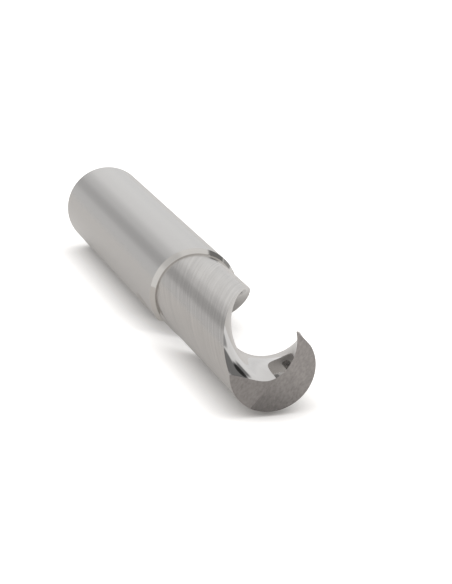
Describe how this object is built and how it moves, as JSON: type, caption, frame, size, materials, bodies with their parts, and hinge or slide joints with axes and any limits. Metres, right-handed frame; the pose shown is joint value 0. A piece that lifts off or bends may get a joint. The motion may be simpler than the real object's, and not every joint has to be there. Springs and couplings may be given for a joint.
{
  "type": "single flute end mill",
  "caption": "Straight-shank end mill in solid carbide with a single polished spiral flute and a ground end, for routing plastics and aluminium.",
  "frame": {"origin": "centre of the flat rear end of the shank", "axes": "+Z along the tool's axis from the shank to the cutting end, +X through the corner of the cutting edge"},
  "size_m": [0.01, 0.01, 0.072],
  "materials": {
    "ground_carbide": "ground, with a polished flute"
  },
  "bodies": {
    "root": {"end_mill": "ground_carbide"}
  },
  "joints": []
}
